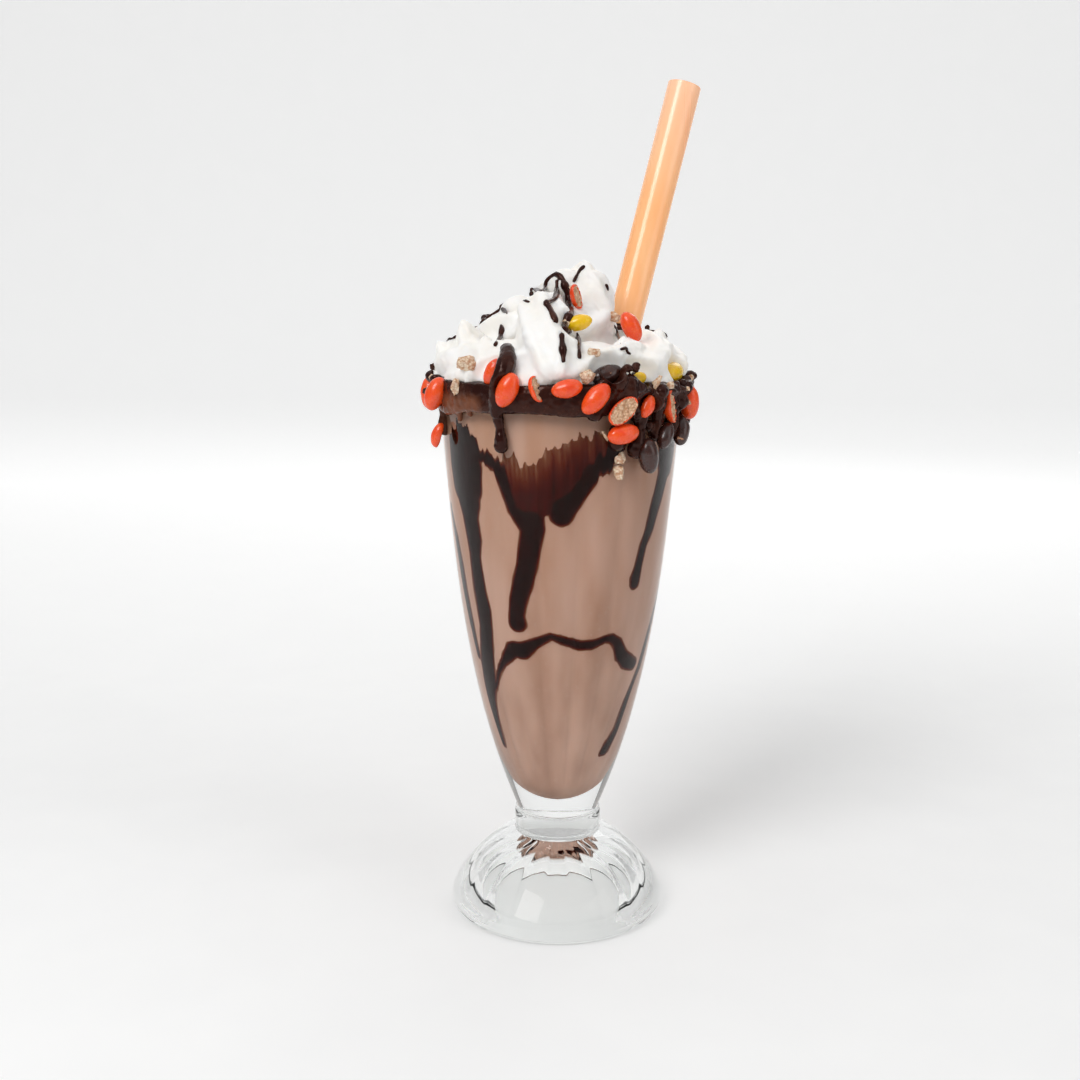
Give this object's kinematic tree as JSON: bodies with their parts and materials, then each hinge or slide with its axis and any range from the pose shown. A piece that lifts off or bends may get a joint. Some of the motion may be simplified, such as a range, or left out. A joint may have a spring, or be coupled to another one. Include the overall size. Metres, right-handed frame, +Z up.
{
  "type": "chocolate milkshake",
  "caption": "Chocolate milkshake in a tall footed glass, with piped whipped cream, a chocolate-dipped rim set with sugar-shelled sweets, and a wide straw.",
  "frame": {"origin": "centre of the glass's foot, on the surface that it stands on", "axes": "+Z up along the glass, +X to the viewer's right, towards which the straw leans, and -Y towards the viewer"},
  "size_m": [0.0987, 0.0972, 0.299],
  "materials": {
    "glass": "clear, polished",
    "milkshake": "smooth liquid",
    "cream": "soft satin",
    "chocolate": "wet gloss",
    "straw": "translucent, smooth",
    "sweet_orange": "polished shell",
    "sweet_yellow": "polished shell",
    "sweet_brown": "polished shell"
  },
  "bodies": {
    "root": {"brown_whole_rim_10": "sweet_brown", "brown_whole_rim_12": "sweet_brown", "brown_whole_rim_15": "sweet_brown", "brown_whole_rim_17": "sweet_brown", "brown_whole_rim_20": "sweet_brown", "brown_whole_rim_26": "sweet_brown", "glass": "glass", "milkshake": "milkshake", "orange_half_cream_3": "sweet_orange", "orange_half_rim_13": "sweet_orange", "orange_half_rim_14": "sweet_orange", "orange_half_rim_2": "sweet_orange", "orange_half_rim_21": "sweet_orange", "orange_half_rim_24": "sweet_orange", "orange_half_rim_29": "sweet_orange", "orange_half_rim_5": "sweet_orange", "orange_half_rim_6": "sweet_orange", "orange_half_rim_8": "sweet_orange", "orange_half_rim_9": "sweet_orange", "orange_whole_cream_1": "sweet_orange", "orange_whole_cream_4": "sweet_orange", "orange_whole_rim_1": "sweet_orange", "orange_whole_rim_18": "sweet_orange", "orange_whole_rim_19": "sweet_orange", "orange_whole_rim_23": "sweet_orange", "orange_whole_rim_25": "sweet_orange", "orange_whole_rim_28": "sweet_orange", "orange_whole_rim_3": "sweet_orange", "orange_whole_rim_30": "sweet_orange", "orange_whole_rim_4": "sweet_orange", "orange_whole_rim_7": "sweet_orange", "rim_chocolate": "chocolate", "straw": "straw", "whipped_cream": "cream", "yellow_half_cream_2": "sweet_yellow", "yellow_half_cream_5": "sweet_yellow", "yellow_half_rim_11": "sweet_yellow", "yellow_half_rim_27": "sweet_yellow", "yellow_whole_rim_16": "sweet_yellow", "yellow_whole_rim_22": "sweet_yellow"}
  },
  "joints": []
}
